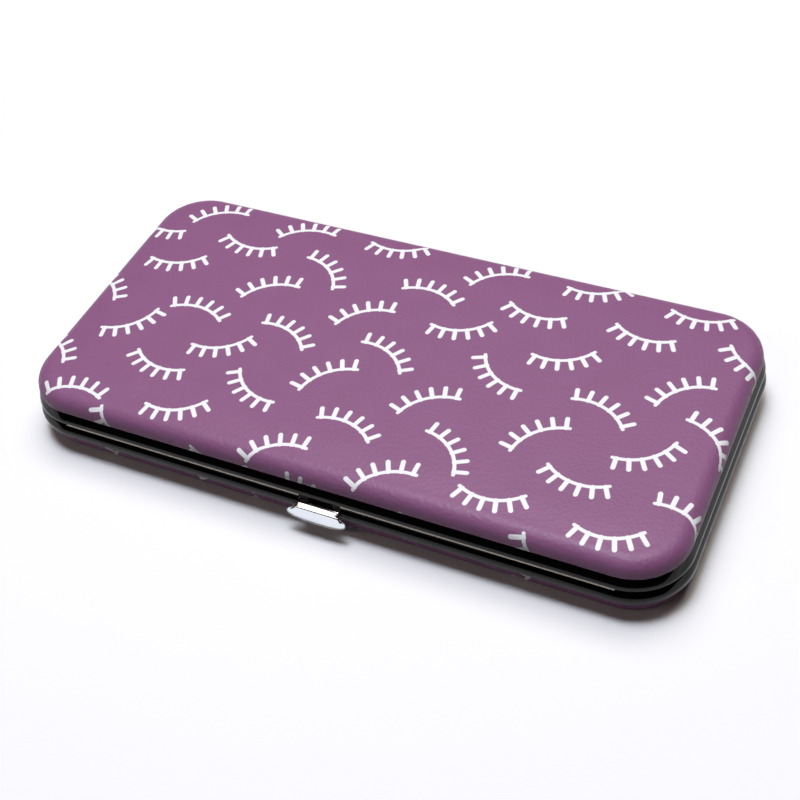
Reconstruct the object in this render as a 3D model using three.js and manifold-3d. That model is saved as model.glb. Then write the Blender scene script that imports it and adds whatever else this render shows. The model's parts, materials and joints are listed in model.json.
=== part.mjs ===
// Hinged hard case for tweezers: two shallow padded halves in leatherette, each held in a channel
// frame of sheet metal, joined by two butt hinges at the back and shut by a sprung thumb clasp.
// Millimetres, +Z up. The origin is the centre of the flat base, +X runs along the case and the
// clasp is on the -Y side.
import * as THREE from "three";
import { mergeVertices } from "three/addons/utils/BufferGeometryUtils.js";
import Module from "manifold-3d";

const wasm = await Module();
wasm.setup();

// Case
const CASE_LENGTH = 180; // over the frames, along X
const CASE_WIDTH = 90; // over the frames, along Y
const CORNER_RADIUS = 15; // of the frames in plan
const BASE_DEPTH = 10.5; // from the seam down to the flat that the case rests on
const LID_HEIGHT = 9; // from the seam up to the crown
const LID_CROWN = 0.4; // rise of the padded lid from its edge to its middle
const CROWN_MARGIN = 1; // what is left of the corner radius where the crown becomes flat

// Channel frames
const FRAME_GAUGE = 0.6;
const FRAME_HEIGHT = 4.3; // outer leg, from the seam
const FRAME_CURL = 0.7; // height of the outer leg's curled free edge
const FRAME_LEAN = 0.3; // how far that edge curls in
const FRAME_FOLD = 0.6; // outside radius of the folds at the seam
const INNER_LEG_CLEARANCE = 1.4; // from the inner leg's edge to the floor of the shallower half
const SEAM_GAP = 0.4; // between the two frames

// Layers of each half, from the outside in
const FIT = 0.1; // gap between layers
const COVER = 0.7;
const EDGE_SQUARENESS = 2.5; // power of the cover's rounded edge, 2 for an ellipse
const LID_EDGE_RUN = 5; // rounded edge of the lid's cover, across
const LID_EDGE_RISE = 4.3; // and in height
const BASE_EDGE_RUN = 3.5; // rounded edge of the base's cover, across
const BASE_EDGE_RISE = 6.2; // and in height
const PADDING = 1;
const PADDING_LIP = 1; // how far the padding reaches on to the rounded edge
const SHELL = 0.8;
const SHELL_EDGE_RUN = 5.5;
const SHELL_EDGE_RISE = 4;
const SHEET = 0.6; // magnetic sheet of the base, foam sheet of the lid
const LINING = 0.5;
const LINING_EDGE_RUN = 2.5;
const LINING_EDGE_RISE = 2.4;

// Butt hinges
const HINGE_SPACING = 100; // between the middles of the two hinges
const LEAF_LENGTH = 16;
const LEAF_GAUGE = 0.6;
const KNUCKLES = 3; // two on the base leaf and the one between them on the lid leaf
const KNUCKLE_RADIUS = 1.4;
const KNUCKLE_CLEARANCE = 0.25; // from the knuckle to the back of the frames
const KNUCKLE_GAP = 0.3; // between neighbouring knuckles
const HINGE_PIN_RADIUS = 0.55;
const HINGE_PIN_HEAD_RADIUS = 0.9;
const HINGE_PIN_HEAD = 0.4; // thickness of the pin's heads
const HINGE_RIVET_SPACING = 11; // between the two rivets of a leaf
const RUNNING_FIT = 0.1; // radial, round pins and rivets

// Rivets
const RIVET_RADIUS = 0.4;
const RIVET_HEAD_RADIUS = 0.75;
const RIVET_HEAD = 0.4; // height of a domed head
const RIVET_TAIL_RADIUS = 0.6;
const RIVET_TAIL = 0.3; // height of the upset tail
const RIVET_SHOULDER = 0.7; // share of the head's radius and height where the dome turns over
const COUNTERSINK = 0.35; // depth of a flush head

// Clasp
const CLASP_WIDTH = 11.2; // of the strip that comes out of the base frame
const CLASP_GAP = 0.2; // at each side of the strip, past the pin's ends and under the nose
const STRIP_GAUGE = 0.5;
const STRIP_OVERHANG = 0.2; // level part of the strip outside the frame
const STRIP_RUN = 1.1; // sloping part of the strip, outwards
const STRIP_FALL = 1; // sloping part of the strip, downwards
const THUMB_WIDTH = 16.3; // oval thumb plate
const THUMB_HEIGHT = 3.5;
const THUMB_THICKNESS = 1.1;
const THUMB_TILT = THREE.MathUtils.degToRad(35);
const PIVOT_SETBACK = 0.25; // of the pivot from the middle of the channel, inwards
const BARREL_RADIUS = 0.9;
const BARREL_GAP = 0.3; // round the barrel, to the bracket above it and the strip before it
const CLASP_PIN_RADIUS = 0.45;
const HOOK_WIDTH = 6;
const HOOK_GAUGE = 0.5;
const HOOK_GAP = 0.4; // round the hook in the slots that it passes
const NOSE_REACH = 0.8;
const NOSE_HEIGHT = 0.6;
const NOSE_CATCH = 0.6; // overlap of the nose and the keeper
const PLATE_GAUGE = 0.5; // bracket and keeper
const PLATE_RIVET_MARGIN = 0.65; // from the pin's end to a rivet's head
const PLATE_EDGE = 0.85; // from a rivet's head to the plate's end
const EAR_GAUGE = 0.6;
const EAR_REACH = 1; // of the bracket's ears round the pivot
const NOTCH_DROP = 0.8; // of the base frame's notch below the pivot
const POCKET_MARGIN = 0.4; // of the cut in the layers round the clasp
const SPRING_WIRE = 0.3;
const SPRING_RADIUS = 0.75; // of the coil, at the middle of the wire
const SPRING_TURNS = 3.25;
const SPRING_PITCH = 0.42;
const SPRING_GAP = 0.15; // at each end of the coil

// Facets
const CORNER_STEPS = 6; // along a quarter circle in plan
const EDGE_STEPS = 5; // along a rounded edge
const CROWN_STEPS = 2;
const FOLD_STEPS = 3;
const ROUND_SIDES = 12; // of pins, knuckles and rivets
const THUMB_SIDES = 24; // round the thumb plate's rim
const SPRING_STEPS = 8; // along one turn of the spring
const WIRE_SIDES = 6;

// Places worked out from the sizes above
const WEB_OUTSIDE = SEAM_GAP / 2;
const WEB_INSIDE = WEB_OUTSIDE + FRAME_GAUGE;
const RIM = WEB_INSIDE + FIT; // where the layers start inside the channels
const LAYERS = COVER + PADDING + SHELL + SHEET + LINING + 4 * FIT;
const SHALLOWER = Math.min(BASE_DEPTH, LID_HEIGHT - LID_CROWN);
const INNER_LEG = SHALLOWER - LAYERS - INNER_LEG_CLEARANCE; // inner leg, from the seam
const COVER_INSET = FRAME_LEAN + FRAME_GAUGE + FIT;
const SHELL_INSET = COVER_INSET + COVER + FIT;
const LINING_INSET = SHELL_INSET + SHELL + FIT;
const CHANNEL_BACK = LINING_INSET + LINING + FIT;
const FRAME_BREADTH = CHANNEL_BACK + FRAME_GAUGE;
const FRONT = -CASE_WIDTH / 2;
const BACK = CASE_WIDTH / 2;
const HINGE_AXIS = BACK + KNUCKLE_CLEARANCE + KNUCKLE_RADIUS;
const LEAF_TOP = FRAME_HEIGHT - FRAME_CURL;
const LEAF_MIDDLE = (KNUCKLE_RADIUS + LEAF_TOP) / 2;
const PLATE_INSIDE = WEB_INSIDE + PLATE_GAUGE;
const CHANNEL_MIDDLE = FRONT + FRAME_BREADTH / 2;
const PIVOT_Y = CHANNEL_MIDDLE + PIVOT_SETBACK;
const PIVOT_DROP = PLATE_INSIDE + BARREL_GAP + BARREL_RADIUS; // of the pivot below the seam
const PIVOT_TO_FRONT = PIVOT_Y - FRONT;
const SPRING_SPACE = SPRING_PITCH * SPRING_TURNS + SPRING_WIRE + 2 * SPRING_GAP;
const BARREL_END = CLASP_WIDTH / 2 - SPRING_SPACE;
const EAR_START = CLASP_WIDTH / 2 + CLASP_GAP;
const PIN_END = EAR_START + EAR_GAUGE + CLASP_GAP;
const PLATE_RIVET_X = PIN_END + PLATE_RIVET_MARGIN + RIVET_HEAD_RADIUS;
const PLATE_END = PLATE_RIVET_X + RIVET_HEAD_RADIUS + PLATE_EDGE;
const HOOK_FRONT = -HOOK_GAUGE - RUNNING_FIT; // from the pivot
const HOOK_BACK = HOOK_FRONT + HOOK_GAUGE;
const SLOT_END = HOOK_WIDTH / 2 + HOOK_GAP;
const SLOT_BACK = PIVOT_Y + HOOK_BACK + HOOK_GAP;
const KEEPER_FRONT = PIVOT_Y + HOOK_BACK + NOSE_REACH - NOSE_CATCH;
const PLATE_GRIP = PLATE_GAUGE + FRAME_GAUGE; // what a rivet of the bracket or the keeper holds
const LEAF_GRIP = LEAF_GAUGE + FRAME_GAUGE; // what a rivet of a hinge leaf holds
const PLATE_RIVETS = [-PLATE_RIVET_X, PLATE_RIVET_X];
const LEAF_RIVETS = [-HINGE_RIVET_SPACING / 2, HINGE_RIVET_SPACING / 2];
const HINGES = [
  { name: "left_hinge", x: -HINGE_SPACING / 2 },
  { name: "right_hinge", x: HINGE_SPACING / 2 },
];

// Finishes
const FINISHES = {
  leatherette: { color: 0x98678e, roughness: 0.55, metalness: 0 },
  foam: { color: 0xcfcac4, roughness: 0.95, metalness: 0 },
  moulding: { color: 0x3a3a3d, roughness: 0.6, metalness: 0 },
  magnet: { color: 0x2b2724, roughness: 0.8, metalness: 0 },
  velvet: { color: 0x1d1a1f, roughness: 0.9, metalness: 0 },
  lacquer: { color: 0x0a0a0b, roughness: 0.15, metalness: 0.3 },
  chrome: { color: 0xe8e8ea, roughness: 0.12, metalness: 1 },
  steel: { color: 0xb9b9bc, roughness: 0.3, metalness: 1 },
};

// A closed geometry as a solid that can be joined and cut.
function solid(geometry) {
  const bare = new THREE.BufferGeometry();
  bare.setAttribute("position", geometry.getAttribute("position"));
  bare.setIndex(geometry.index);
  const merged = mergeVertices(bare);
  return new wasm.Manifold(
    new wasm.Mesh({
      numProp: 3,
      vertProperties: merged.getAttribute("position").array,
      triVerts: new Uint32Array(merged.index.array),
    }),
  );
}

// A solid as a geometry.
function geometryOf(body) {
  const { vertProperties, triVerts } = body.getMesh();
  const geometry = new THREE.BufferGeometry();
  geometry.setAttribute("position", new THREE.BufferAttribute(vertProperties, 3));
  geometry.setIndex(new THREE.BufferAttribute(triVerts, 1));
  return geometry;
}

// One named mesh with a material of its own.
function piece(name, finish, geometry) {
  const mesh = new THREE.Mesh(geometry, new THREE.MeshStandardMaterial(FINISHES[finish]));
  mesh.geometry.computeVertexNormals();
  mesh.name = name;
  return mesh;
}

function group(...children) {
  const made = new THREE.Group();
  made.add(...children);
  return made;
}

// A box between two limits on each axis, given in either order.
function box([x0, x1], [y0, y1], [z0, z1]) {
  const geometry = new THREE.BoxGeometry(Math.abs(x1 - x0), Math.abs(y1 - y0), Math.abs(z1 - z0));
  return geometry.translate((x0 + x1) / 2, (y0 + y1) / 2, (z0 + z1) / 2);
}

// A round bar along X between two limits, about the line through y and z.
function bar(radius, [x0, x1], y = 0, z = 0) {
  const geometry = new THREE.CylinderGeometry(radius, radius, x1 - x0, ROUND_SIDES);
  return geometry.rotateZ(Math.PI / 2).translate((x0 + x1) / 2, y, z);
}

// Points of the frames' plan outline moved in by `inset`, anticlockwise seen from above.
function outline(inset) {
  const radius = CORNER_RADIUS - inset;
  const points = [];
  for (let corner = 0; corner < 4; corner++) {
    const along = corner === 0 || corner === 3 ? 1 : -1;
    const across = corner < 2 ? 1 : -1;
    for (let step = 0; step <= CORNER_STEPS; step++) {
      const angle = ((corner + step / CORNER_STEPS) * Math.PI) / 2;
      points.push([
        along * (CASE_LENGTH / 2 - CORNER_RADIUS) + radius * Math.cos(angle),
        across * (CASE_WIDTH / 2 - CORNER_RADIUS) + radius * Math.sin(angle),
      ]);
    }
  }
  return points;
}

// A solid of plan outlines stacked along a profile of [inset, height from the seam] pairs.
// `side` is 1 for the lid and -1 for the base, which lies below the seam. A profile that is not
// `closed` on itself ends in a flat at both ends, the first facing the seam.
function stack(profile, side, closed = false) {
  const positions = [];
  for (const [inset, height] of profile) {
    for (const [x, y] of outline(inset)) positions.push(x, y, side * height);
  }
  const count = positions.length / 3 / profile.length;
  const index = [];
  const face = (a, b, c) => index.push(...(side > 0 ? [a, b, c] : [a, c, b]));
  const bands = closed ? profile.length : profile.length - 1;
  for (let band = 0; band < bands; band++) {
    const low = band * count;
    const high = ((band + 1) % profile.length) * count;
    for (let k = 0; k < count; k++) {
      const next = (k + 1) % count;
      face(low + k, low + next, high + next);
      face(low + k, high + next, high + k);
    }
  }
  if (!closed) {
    const last = (profile.length - 1) * count;
    for (let k = 1; k < count - 1; k++) {
      face(0, k + 1, k);
      face(last, last + k, last + k + 1);
    }
  }
  const geometry = new THREE.BufferGeometry();
  geometry.setAttribute("position", new THREE.Float32BufferAttribute(positions, 3));
  geometry.setIndex(index);
  return geometry;
}

// Rings of a crown that rises from the flat's edge at [inset, height].
function crownRings(inset, height, crown) {
  if (crown === 0) return [];
  const end = CORNER_RADIUS - CROWN_MARGIN;
  return Array.from({ length: CROWN_STEPS }, (_, k) => {
    const share = (k + 1) / CROWN_STEPS;
    return [inset + (end - inset) * share, height + crown * Math.sin((share * Math.PI) / 2)];
  });
}

// One face of a dish, from its rim to its flat: an upright wall that turns over a rounded edge.
function dishFace({ inset, top, run, rise, power = 2, crown = 0 }) {
  const face = [[inset, RIM]];
  for (let step = 0; step <= EDGE_STEPS; step++) {
    const turn = ((step / EDGE_STEPS) * Math.PI) / 2;
    const outwards = step === EDGE_STEPS ? 0 : Math.cos(turn) ** (2 / power);
    const upwards = Math.sin(turn) ** (2 / power);
    face.push([inset + run * (1 - outwards), top - rise * (1 - upwards)]);
  }
  return [...face, ...crownRings(inset + run, top, crown)];
}

// A dish of even thickness whose outer face is given.
function dish(outer, thickness, side) {
  const inner = {
    ...outer,
    inset: outer.inset + thickness,
    top: outer.top - thickness,
    run: outer.run - thickness,
    rise: outer.rise - thickness,
  };
  return stack([...dishFace(inner).reverse(), ...dishFace(outer)], side);
}

// A flat slab between two heights.
function slab(inset, low, high, side) {
  return stack([[inset, low], [inset, high]], side);
}

// Points of a fold's outside, a quarter circle about a centre, from one angle in quarter turns.
function fold(inset, height, firstQuarter) {
  return Array.from({ length: FOLD_STEPS + 1 }, (_, step) => {
    const angle = ((firstQuarter + step / FOLD_STEPS) * Math.PI) / 2;
    return [inset + FRAME_FOLD * Math.cos(angle), height - FRAME_FOLD * Math.sin(angle)];
  });
}

// Channel frame: a web at the seam, an inner leg, and an outer leg whose free edge curls in
// against the cover.
function channelFrame(side) {
  const foldHeight = WEB_OUTSIDE + FRAME_FOLD;
  const curl = FRAME_HEIGHT - FRAME_CURL;
  return stack(
    [
      [FRAME_BREADTH, INNER_LEG],
      ...fold(FRAME_BREADTH - FRAME_FOLD, foldHeight, 0),
      ...fold(FRAME_FOLD, foldHeight, 1),
      [0, curl],
      [FRAME_LEAN / 3, curl + FRAME_CURL / 2],
      [FRAME_LEAN, FRAME_HEIGHT],
      [FRAME_LEAN + FRAME_GAUGE, FRAME_HEIGHT],
      [FRAME_GAUGE, curl],
      [FRAME_GAUGE, WEB_INSIDE],
      [CHANNEL_BACK, WEB_INSIDE],
      [CHANNEL_BACK, INNER_LEG],
    ],
    side,
    true,
  );
}

// A turned solid about Y from [radius, height] pairs that start and end on the axis.
function turned(pairs) {
  return new THREE.LatheGeometry(pairs.map(([r, h]) => new THREE.Vector2(r, h)), ROUND_SIDES);
}

// Rivet with a domed head and an upset tail, along Y, gripping from y = 0 to y = grip.
function domedRivet(grip) {
  return turned([
    [0, -RIVET_TAIL],
    [RIVET_TAIL_RADIUS * RIVET_SHOULDER, -RIVET_TAIL],
    [RIVET_TAIL_RADIUS, 0],
    [RIVET_RADIUS, 0],
    [RIVET_RADIUS, grip],
    [RIVET_HEAD_RADIUS, grip],
    [RIVET_HEAD_RADIUS * RIVET_SHOULDER, grip + RIVET_HEAD * RIVET_SHOULDER],
    [0, grip + RIVET_HEAD],
  ]);
}

// Rivet whose head lies flush in a countersink at y = grip. `clearance` widens it into the cutter
// of its own hole.
function flushRivet(grip, clearance = 0) {
  const shank = RIVET_RADIUS + clearance;
  const head = RIVET_HEAD_RADIUS + clearance;
  const tail = clearance ? shank : RIVET_TAIL_RADIUS;
  return turned([
    [0, -RIVET_TAIL],
    [tail, -RIVET_TAIL],
    [tail, 0],
    [shank, 0],
    [shank, grip - COUNTERSINK - clearance],
    [head, grip],
    [head, grip + clearance],
    [0, grip + clearance],
  ]);
}

// A flush rivet of the base or the lid, turned so that its head lies in the web's outside.
function plateRivet(x, side, clearance = 0) {
  const geometry = flushRivet(PLATE_GRIP, clearance).rotateX((-side * Math.PI) / 2);
  return geometry.translate(x, CHANNEL_MIDDLE, side * PLATE_INSIDE);
}

// Holes for both flush rivets of the base or the lid.
function plateHoles(side) {
  return PLATE_RIVETS.map((x) => solid(plateRivet(x, side, RUNNING_FIT)));
}

// Cutter along Y for a leaf's rivet, through the leaf and the frame's back leg.
function rivetHole(x, y, z) {
  const radius = RIVET_RADIUS + RUNNING_FIT;
  const hole = new THREE.CylinderGeometry(radius, radius, 2 * LEAF_GRIP, ROUND_SIDES);
  return solid(hole.translate(x, y, z));
}

// Holes in a frame's back leg for the rivets of both hinges.
function leafHoles(side) {
  const places = HINGES.flatMap(({ x }) => LEAF_RIVETS.map((rivetX) => x + rivetX));
  return places.map((x) => rivetHole(x, BACK, side * LEAF_MIDDLE));
}

function cutAll(body, cutters) {
  return cutters.reduce((left, cutter) => left.subtract(cutter), body);
}

// Space round the clasp, cut from the rims of the layers as far as `reach` from the seam.
function claspPocket(reach, side) {
  const end = PLATE_END + POCKET_MARGIN;
  return solid(box([-end, end], [FRONT - FIT, FRONT + CHANNEL_BACK], [0, side * reach]));
}

// One half of the case: cover, padding, shell, sheet and lining, with the clasp's pocket cut out.
// The half is given by its side of the seam, its height, its rounded edge and its crown.
function layers({ name, sheet, side, height, run, rise, crown, pocketReach }) {
  const pocket = claspPocket(pocketReach, side);
  const cover = {
    inset: COVER_INSET,
    top: height - crown,
    run,
    rise,
    power: EDGE_SQUARENESS,
    crown,
  };
  const paddingTop = cover.top - COVER - FIT;
  const paddingLow = paddingTop - PADDING;
  const flat = COVER_INSET + run;
  const shell = {
    inset: SHELL_INSET,
    top: paddingLow - FIT,
    run: SHELL_EDGE_RUN,
    rise: SHELL_EDGE_RISE,
  };
  const sheetTop = shell.top - SHELL - FIT;
  const sheetInset = SHELL_INSET + SHELL_EDGE_RUN;
  const lining = {
    inset: LINING_INSET,
    top: sheetTop - SHEET - FIT,
    run: LINING_EDGE_RUN,
    rise: LINING_EDGE_RISE,
  };
  const padding = [
    [flat - PADDING_LIP, paddingLow],
    [flat - PADDING_LIP, (paddingLow + paddingTop) / 2],
    [flat, paddingTop],
    ...crownRings(flat, paddingTop, crown),
  ];
  const cut = (outer, thickness) => geometryOf(solid(dish(outer, thickness, side)).subtract(pocket));
  return [
    piece(`${name}_cover`, "leatherette", cut(cover, COVER)),
    piece(`${name}_padding`, "foam", stack(padding, side)),
    piece(`${name}_shell`, "moulding", cut(shell, SHELL)),
    piece(sheet.name, sheet.finish, slab(sheetInset, sheetTop - SHEET, sheetTop, side)),
    piece(`${name}_lining`, "velvet", cut(lining, LINING)),
  ];
}

// Base frame, notched for the clasp lever and drilled for the bracket and the hinge leaves.
function baseFrame() {
  const notchFloor = -PIVOT_DROP - NOTCH_DROP;
  const notch = solid(box([-EAR_START, EAR_START], [FRONT - FIT, SLOT_BACK], [0, notchFloor]));
  return geometryOf(cutAll(solid(channelFrame(-1)), [notch, ...plateHoles(-1), ...leafHoles(-1)]));
}

// Lid frame, slotted for the hook and drilled for the keeper and the hinge leaves.
function lidFrame() {
  const slotFront = FRONT + FRAME_GAUGE + FIT;
  const slot = solid(box([-SLOT_END, SLOT_END], [slotFront, KEEPER_FRONT], [0, PLATE_INSIDE]));
  return geometryOf(cutAll(solid(channelFrame(1)), [slot, ...plateHoles(1), ...leafHoles(1)]));
}

// Hinge leaf about its own knuckle axis: a plate on the frame's back, with tabs that roll into
// the knuckles between the given limits along X.
function leaf(side, knuckles) {
  const axisGap = HINGE_AXIS - BACK;
  const face = [-axisGap, LEAF_GAUGE - axisGap];
  const half = LEAF_LENGTH / 2;
  let body = solid(box([-half, half], face, [side * KNUCKLE_RADIUS, side * LEAF_TOP]));
  for (const limits of knuckles) {
    body = body.add(solid(box(limits, face, [side * SEAM_GAP, side * LEAF_MIDDLE])));
    body = body.add(solid(bar(KNUCKLE_RADIUS, limits)));
  }
  const pinHole = solid(bar(HINGE_PIN_RADIUS + RUNNING_FIT, [-LEAF_LENGTH, LEAF_LENGTH]));
  const rivetHoles = LEAF_RIVETS.map((x) => rivetHole(x, -axisGap, side * LEAF_MIDDLE));
  return geometryOf(cutAll(body, [pinHole, ...rivetHoles]));
}

// Hinge pin with a head at each end.
function hingePin() {
  const half = LEAF_LENGTH / 2 + RUNNING_FIT;
  const end = half + HINGE_PIN_HEAD;
  return turned([
    [0, -end],
    [HINGE_PIN_HEAD_RADIUS, -end],
    [HINGE_PIN_HEAD_RADIUS, -half],
    [HINGE_PIN_RADIUS, -half],
    [HINGE_PIN_RADIUS, half],
    [HINGE_PIN_HEAD_RADIUS, half],
    [HINGE_PIN_HEAD_RADIUS, end],
    [0, end],
  ]).rotateZ(Math.PI / 2);
}

// One butt hinge: the base leaf has the outer knuckles and the lid leaf the middle one.
function hinge({ name, x }) {
  const half = LEAF_LENGTH / 2;
  const split = half / KNUCKLES;
  const gap = KNUCKLE_GAP / 2;
  const outer = [[-half, -split - gap], [split + gap, half]];
  const middle = [-split + gap, split - gap];
  const rivets = [-1, 1].flatMap((side) => LEAF_RIVETS.map((rivetX, k) => {
    const owner = side < 0 ? "base" : "lid";
    const rivet = piece(`${name}_${owner}_leaf_rivet_${k + 1}`, "steel", domedRivet(LEAF_GRIP));
    rivet.position.set(rivetX, BACK - FRAME_GAUGE - HINGE_AXIS, side * LEAF_MIDDLE);
    return rivet;
  }));
  const made = group(
    piece(`${name}_base_leaf`, "lacquer", leaf(-1, outer)),
    piece(`${name}_lid_leaf`, "lacquer", leaf(1, [middle])),
    piece(`${name}_pin`, "steel", hingePin()),
    ...rivets,
  );
  made.position.set(x, HINGE_AXIS, 0);
  return made;
}

// A plate cut to a section of [y, z] points, between two limits along X.
function sectionPlate(points, [x0, x1]) {
  const section = new THREE.Shape(points.map(([y, z]) => new THREE.Vector2(y, z)));
  const plate = new THREE.ExtrudeGeometry(section, { depth: x1 - x0, bevelEnabled: false });
  const turn = new THREE.Matrix4().makeBasis(
    new THREE.Vector3(0, 1, 0),
    new THREE.Vector3(0, 0, 1),
    new THREE.Vector3(1, 0, 0),
  );
  return plate.applyMatrix4(turn).translate(x0, 0, 0);
}

// Clasp lever about its pivot: a barrel on the pin, a hook that rises through the seam, and a
// strip that leaves the frame, slopes down and ends in an oval thumb plate.
function claspLever() {
  const barrel = [-BARREL_END, BARREL_END];
  const stripBack = -BARREL_RADIUS - BARREL_GAP;
  const stripBend = -PIVOT_TO_FRONT - STRIP_OVERHANG;
  const slope = Math.atan2(STRIP_FALL, STRIP_RUN);
  const miter = STRIP_GAUGE * Math.tan(slope / 2);
  const creaseY = stripBend - STRIP_RUN;
  const creaseZ = STRIP_GAUGE - STRIP_FALL;
  const strip = sectionPlate(
    [
      [stripBack, STRIP_GAUGE],
      [stripBend, STRIP_GAUGE],
      [creaseY, creaseZ],
      [creaseY + STRIP_GAUGE * Math.sin(slope), creaseZ - STRIP_GAUGE * Math.cos(slope)],
      [stripBend + miter, 0],
      [stripBack, 0],
    ],
    [-CLASP_WIDTH / 2, CLASP_WIDTH / 2],
  );
  const neck = box(barrel, [stripBack - RUNNING_FIT, 0], [0, STRIP_GAUGE]);
  const thumb = new THREE.SphereGeometry(0.5, THUMB_SIDES, ROUND_SIDES);
  const thumbDrop = THUMB_HEIGHT / 2 - STRIP_GAUGE;
  thumb.scale(THUMB_WIDTH, THUMB_THICKNESS, THUMB_HEIGHT).rotateX(-THUMB_TILT);
  thumb.translate(
    0,
    creaseY - thumbDrop * Math.sin(THUMB_TILT),
    creaseZ - thumbDrop * Math.cos(THUMB_TILT),
  );
  const noseLow = PIVOT_DROP + PLATE_INSIDE + CLASP_GAP;
  const hook = sectionPlate(
    [
      [HOOK_FRONT, 0],
      [HOOK_BACK, 0],
      [HOOK_BACK, noseLow],
      [HOOK_BACK + NOSE_REACH, noseLow],
      [HOOK_BACK, noseLow + NOSE_HEIGHT],
      [HOOK_FRONT, noseLow + NOSE_HEIGHT],
    ],
    [-HOOK_WIDTH / 2, HOOK_WIDTH / 2],
  );
  const joined = [bar(BARREL_RADIUS, barrel), neck, strip, thumb, hook]
    .map(solid)
    .reduce((all, part) => all.add(part));
  const bore = solid(bar(CLASP_PIN_RADIUS + RUNNING_FIT, [-CLASP_WIDTH, CLASP_WIDTH]));
  return geometryOf(joined.subtract(bore));
}

// Plate that fills the channel on the inside of a web, slotted for the hook from its front edge
// back to `slotBack`, and drilled for its rivets.
function channelPlate(side, slotBack) {
  const plate = box(
    [-PLATE_END, PLATE_END],
    [FRONT + FRAME_GAUGE + FIT, FRONT + CHANNEL_BACK - FIT],
    [side * WEB_INSIDE, side * PLATE_INSIDE],
  );
  const slot = box([-SLOT_END, SLOT_END], [FRONT, slotBack], [0, side * (PLATE_INSIDE + FIT)]);
  return cutAll(solid(plate), [solid(slot), ...plateHoles(side)]);
}

// Bracket under the base frame's web, with two ears for the pin.
function claspBracket() {
  const ears = [-1, 1].map((end) => solid(box(
    [end * EAR_START, end * (EAR_START + EAR_GAUGE)],
    [PIVOT_Y - EAR_REACH, PIVOT_Y + EAR_REACH],
    [-WEB_INSIDE, -PIVOT_DROP - EAR_REACH],
  )));
  const body = ears.reduce((all, ear) => all.add(ear), channelPlate(-1, SLOT_BACK));
  const pinHole = bar(CLASP_PIN_RADIUS + RUNNING_FIT, [-PIN_END, PIN_END], PIVOT_Y, -PIVOT_DROP);
  return geometryOf(body.subtract(solid(pinHole)));
}

// Keeper on the lid frame's web: the back of its slot is what the hook's nose catches on.
function catchKeeper() {
  return geometryOf(channelPlate(1, KEEPER_FRONT));
}

// Torsion spring about the pivot, beside the barrel: one leg lies under the strip and the other
// stands against the bracket.
function claspSpring() {
  const start = BARREL_END + SPRING_GAP + SPRING_WIRE / 2;
  const legEnd = FRAME_GAUGE + CLASP_GAP - PIVOT_TO_FRONT;
  const points = [new THREE.Vector3(start, legEnd, -SPRING_RADIUS)];
  for (let step = 0; step <= SPRING_TURNS * SPRING_STEPS; step++) {
    const turn = step / SPRING_STEPS;
    const angle = 2 * Math.PI * turn - Math.PI / 2;
    points.push(new THREE.Vector3(
      start + SPRING_PITCH * turn,
      SPRING_RADIUS * Math.cos(angle),
      SPRING_RADIUS * Math.sin(angle),
    ));
  }
  const end = points.at(-1);
  points.push(new THREE.Vector3(end.x, end.y, SPRING_RADIUS));
  const wire = new THREE.Shape();
  wire.absarc(0, 0, SPRING_WIRE / 2, 0, 2 * Math.PI);
  return new THREE.ExtrudeGeometry(wire, {
    extrudePath: new THREE.CatmullRomCurve3(points, false, "centripetal"),
    steps: 2 * points.length,
    curveSegments: WIRE_SIDES / 2,
  });
}

// The clasp's moving lever, its pin and its spring, about the pivot.
function clasp() {
  const made = group(
    piece("clasp_lever", "chrome", claspLever()),
    piece("clasp_pin", "steel", bar(CLASP_PIN_RADIUS, [-PIN_END, PIN_END])),
    piece("clasp_spring", "steel", claspSpring()),
  );
  made.position.set(0, PIVOT_Y, -PIVOT_DROP);
  return made;
}

// A frame, the plate riveted into it and that plate's rivets.
function framed(side, frameName, frame, plateName, plate) {
  return [
    piece(frameName, "lacquer", frame),
    piece(plateName, "steel", plate),
    ...PLATE_RIVETS.map((x, k) => piece(`${plateName}_rivet_${k + 1}`, "steel", plateRivet(x, side))),
  ];
}

const base = group(
  ...layers({
    name: "base",
    sheet: { name: "base_magnet_sheet", finish: "magnet" },
    side: -1,
    height: BASE_DEPTH,
    run: BASE_EDGE_RUN,
    rise: BASE_EDGE_RISE,
    crown: 0,
    pocketReach: PIVOT_DROP + EAR_REACH + CLASP_GAP,
  }),
  ...framed(-1, "base_frame", baseFrame(), "clasp_bracket", claspBracket()),
);
const lid = group(
  ...layers({
    name: "lid",
    sheet: { name: "lid_foam_sheet", finish: "foam" },
    side: 1,
    height: LID_HEIGHT,
    run: LID_EDGE_RUN,
    rise: LID_EDGE_RISE,
    crown: LID_CROWN,
    pocketReach: PLATE_INSIDE + CLASP_GAP + NOSE_HEIGHT + POCKET_MARGIN,
  }),
  ...framed(1, "lid_frame", lidFrame(), "catch_keeper", catchKeeper()),
);

// Everything is placed about the seam, which lies the base's depth above the origin.
const tweezerCase = group(base, lid, clasp(), ...HINGES.map(hinge));
const standing = group(tweezerCase);
tweezerCase.position.z = BASE_DEPTH;

export default standing;
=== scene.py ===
"""Looks of a hinged tweezer case: two padded leatherette halves in black lacquered channel frames,
with a chrome thumb clasp in front and two butt hinges behind.

Formulas are in millimetres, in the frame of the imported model, and meshes are in metres.
"""
import json
import math

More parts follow.
